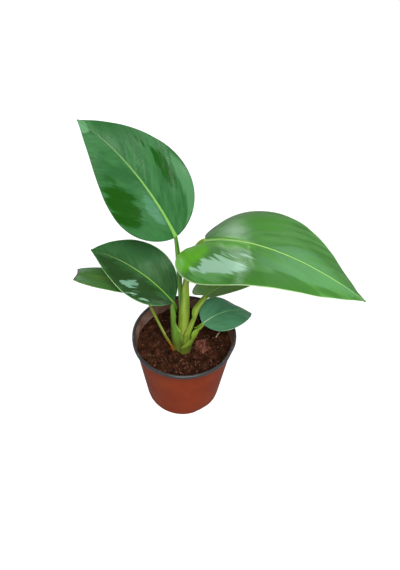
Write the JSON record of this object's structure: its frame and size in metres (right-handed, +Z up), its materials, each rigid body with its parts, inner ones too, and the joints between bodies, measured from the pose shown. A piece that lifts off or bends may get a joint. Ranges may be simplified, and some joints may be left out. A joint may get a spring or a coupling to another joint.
{
  "type": "potted plant",
  "caption": "Young bird of paradise with broad glossy leaves on sheathing stalks, growing in a round terracotta-coloured nursery pot with a dark rolled rim.",
  "frame": {"origin": "centre of the pot's flat underside, on the surface it stands on", "axes": "+Z up along the pot's axis; +X to the right of the fan of leaves and -Y its front, the side the arching leaf leans towards"},
  "size_m": [0.2719, 0.1842, 0.3561],
  "materials": {
    "pot": "satin",
    "potting_mix": "matte",
    "clod": "matte",
    "straw": "matte",
    "blade": "gloss",
    "young_blade": "gloss",
    "stalk": "satin",
    "aged_stalk": "satin",
    "root": "matte"
  },
  "bodies": {
    "root": {"blade_aged": "blade", "blade_arching": "young_blade", "blade_left": "blade", "blade_shaded": "blade", "blade_small": "blade", "blade_tall": "blade", "clod_beside": "clod", "clod_front": "clod", "clod_large": "clod", "clod_left": "clod", "clod_right": "clod", "pot": "pot", "potting_mix": "potting_mix", "root_1": "root", "root_2": "root", "root_3": "root", "root_4": "root", "root_5": "root", "root_crown": "root", "stalk_aged": "aged_stalk", "stalk_arching": "stalk", "stalk_left": "stalk", "stalk_shaded": "stalk", "stalk_small": "stalk", "stalk_tall": "stalk", "straw": "straw"}
  },
  "joints": []
}
